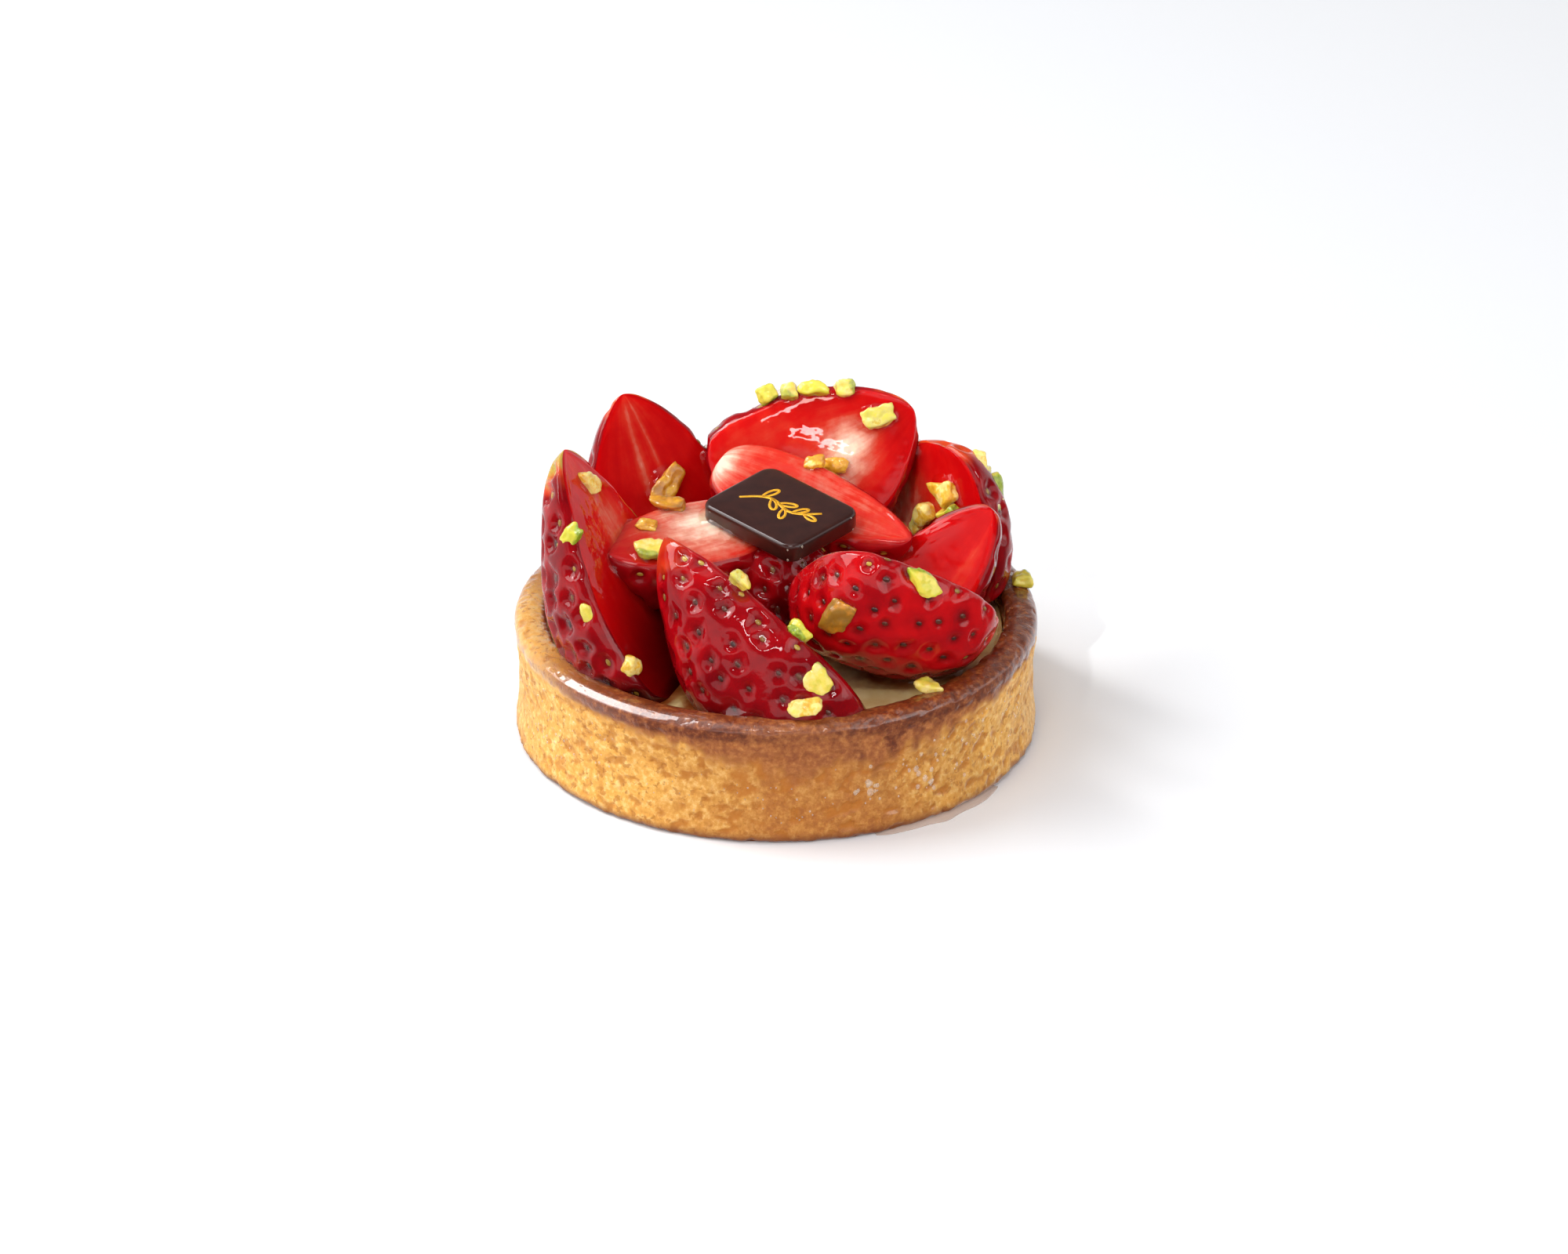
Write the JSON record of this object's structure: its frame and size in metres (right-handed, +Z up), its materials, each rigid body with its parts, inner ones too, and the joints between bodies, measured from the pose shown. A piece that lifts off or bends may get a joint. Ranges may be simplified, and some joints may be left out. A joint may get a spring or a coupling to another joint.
{
  "type": "strawberry tart",
  "caption": "Round single-serving shortcrust tart filled with cream, topped with glazed cut strawberries, chopped pistachio and a small dark chocolate plaque.",
  "frame": {"origin": "middle of the flat underside of the crust", "axes": "+Z up, -Y towards the front, where the plaque leans down"},
  "size_m": [0.08, 0.08, 0.0483],
  "materials": {
    "crust": "baked shortcrust, thinly glazed",
    "cream": "smooth set cream",
    "strawberry": "fresh fruit under clear glaze",
    "chocolate": "tempered dark chocolate"
  },
  "bodies": {
    "root": {"crust_case": "crust", "cream_filling": "cream", "strawberry_front": "strawberry", "strawberry_front_right": "strawberry", "strawberry_middle_left": "strawberry", "strawberry_back_left": "strawberry", "strawberry_middle_back": "strawberry", "strawberry_right_low": "strawberry", "strawberry_left": "strawberry", "strawberry_right": "strawberry", "strawberry_back": "strawberry", "strawberry_middle": "strawberry", "chocolate_plaque": "chocolate"}
  },
  "joints": []
}
